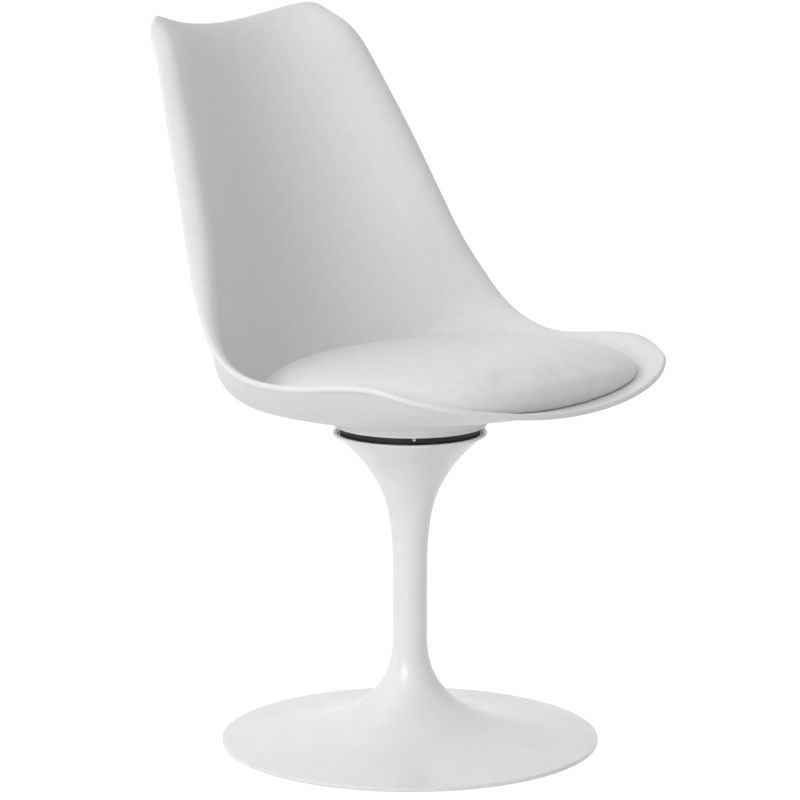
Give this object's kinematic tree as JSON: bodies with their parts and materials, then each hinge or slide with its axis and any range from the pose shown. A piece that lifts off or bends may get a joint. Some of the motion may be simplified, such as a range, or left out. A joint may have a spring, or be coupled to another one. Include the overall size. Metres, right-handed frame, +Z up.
{
  "type": "swivel dining chair",
  "caption": "White side chair: a moulded shell with rolled rim and seat cushion, which turns freely on a trumpet-shaped pedestal with a wide thin foot.",
  "frame": {"origin": "on the floor, on the swivel axis, at the centre of the ring under the foot", "axes": "+Z up along the swivel axis; the chair faces -Y and its back stands towards +Y; +X is to the left of someone sitting in it"},
  "size_m": [0.4996, 0.5641, 0.8223],
  "materials": {
    "pedestal_enamel": "gloss white enamel",
    "foot_rubber": "moulded, matt",
    "plate_steel": "black, satin",
    "zinc_steel": "zinc plated",
    "bearing_steel": "ground",
    "bush_bronze": "sintered bronze",
    "cage_nylon": "moulded nylon",
    "skirt_plastic": "black, satin",
    "shell_plastic": "white, fine moulded grain",
    "board_wood": "raw plywood",
    "cushion_filling": "upholstery foam",
    "cushion_leather": "smooth white synthetic leather",
    "pad_fabric": "hook and loop tape"
  },
  "bodies": {
    "base": {"pedestal": "pedestal_enamel", "foot_ring": "foot_rubber", "base_plate": "plate_steel", "base_screws": "zinc_steel", "lower_race": "bearing_steel", "spindle_bush": "bush_bronze"},
    "bearing": {"ball_cage": "cage_nylon", "bearing_balls": "bearing_steel"},
    "seat": {"upper_race": "bearing_steel", "top_plate": "plate_steel", "skirt_ring": "skirt_plastic", "skirt_screws": "zinc_steel", "weld_nuts": "zinc_steel", "spindle": "zinc_steel", "spindle_washer": "zinc_steel", "spindle_nut": "zinc_steel", "seat_shell": "shell_plastic", "seat_bolts": "zinc_steel", "seat_bolt_washers": "zinc_steel", "cushion_board": "board_wood", "cushion_foam": "cushion_filling", "cushion_cover": "cushion_leather", "hook_pads": "pad_fabric", "loop_pads": "pad_fabric", "cover_staples": "zinc_steel"}
  },
  "joints": [
    {"name": "seat_swivel", "type": "hinge", "parent": "base", "child": "seat", "pos_m": [0, 0, 0.36], "axis": [0, 0, 1], "continuous": true},
    {"name": "bearing_roll", "type": "hinge", "parent": "base", "child": "bearing", "pos_m": [0, 0, 0.356], "axis": [0, 0, 1], "continuous": true}
  ],
  "couplings": [
    {"joint": "bearing_roll", "follows": "seat_swivel", "ratio": 0.5}
  ]
}
